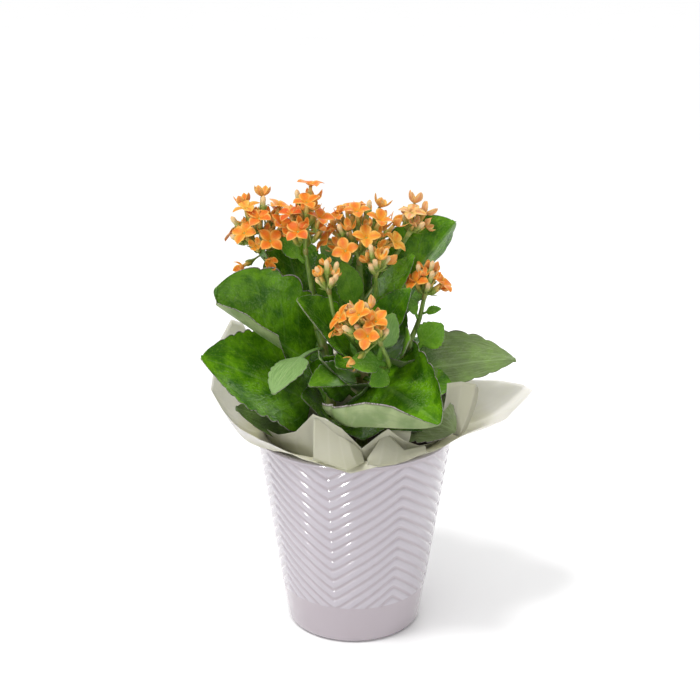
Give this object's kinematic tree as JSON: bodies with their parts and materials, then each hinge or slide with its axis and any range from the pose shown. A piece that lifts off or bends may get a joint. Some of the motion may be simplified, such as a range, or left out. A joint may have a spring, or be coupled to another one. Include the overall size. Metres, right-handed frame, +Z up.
{
  "type": "potted kalanchoe",
  "caption": "Flowering succulent house plant with broad crenate leaves and domed flower heads, in a paper-wrapped nursery pot inside a glazed cover pot with a chevron relief.",
  "frame": {"origin": "centre of the cover pot's flat base, on what it stands on", "axes": "+Z up along the pot's axis, -Y towards the front, +X to the right seen from the front"},
  "size_m": [0.2014, 0.163, 0.2796],
  "materials": {
    "glaze": "glossy pale lilac-white glaze over a chevron relief",
    "paper": "soft creased florist paper, pale cream green",
    "nursery_plastic": "thin brown plastic",
    "soil": "loose dark potting soil",
    "stem": "fleshy yellow-green plant stem",
    "leaf": "waxy dark green succulent leaf with a thin purple margin",
    "young_leaf": "waxy light green young leaf",
    "flower": "soft orange four-petalled flowers on green stalks"
  },
  "bodies": {
    "root": {"cover_pot": "glaze", "paper_wrap_outer": "paper", "paper_wrap_inner": "paper", "nursery_pot": "nursery_plastic", "soil": "soil", "stem_left": "stem", "stem_middle": "stem", "stem_right": "stem", "bract_front_left": "young_leaf", "bract_front_right": "young_leaf", "bract_left": "young_leaf", "bract_right_inner": "young_leaf", "bract_right_outer": "young_leaf", "flower_head_back": "flower", "flower_head_bud_left": "flower", "flower_head_bud_right": "flower", "flower_head_front": "flower", "flower_head_left": "flower", "flower_head_left_middle": "flower", "flower_head_middle": "flower", "flower_head_right": "flower", "flower_head_right_rear": "flower", "leaf_back_left_low": "leaf", "leaf_back_left_upper": "leaf", "leaf_back_middle": "leaf", "leaf_back_right_low": "leaf", "leaf_back_right_upper": "leaf", "leaf_front_right": "leaf", "leaf_inner_left": "leaf", "leaf_left_back": "leaf", "leaf_left_inner": "leaf", "leaf_left_lower": "leaf", "leaf_left_shade": "leaf", "leaf_left_upper": "leaf", "leaf_low_front": "leaf", "leaf_low_left": "leaf", "leaf_low_middle": "leaf", "leaf_middle_dark": "leaf", "leaf_middle_rear": "leaf", "leaf_right": "leaf", "leaf_right_low": "leaf", "leaf_right_tall": "leaf", "leaf_right_under": "leaf", "leaf_right_upper": "leaf", "leaf_young_dark": "young_leaf", "leaf_young_grey": "young_leaf", "leaf_young_left": "young_leaf", "leaf_young_middle": "young_leaf", "leaf_young_right": "young_leaf", "leaf_young_shade": "young_leaf", "leaf_young_side": "young_leaf", "leaf_young_trough": "young_leaf"}
  },
  "joints": []
}
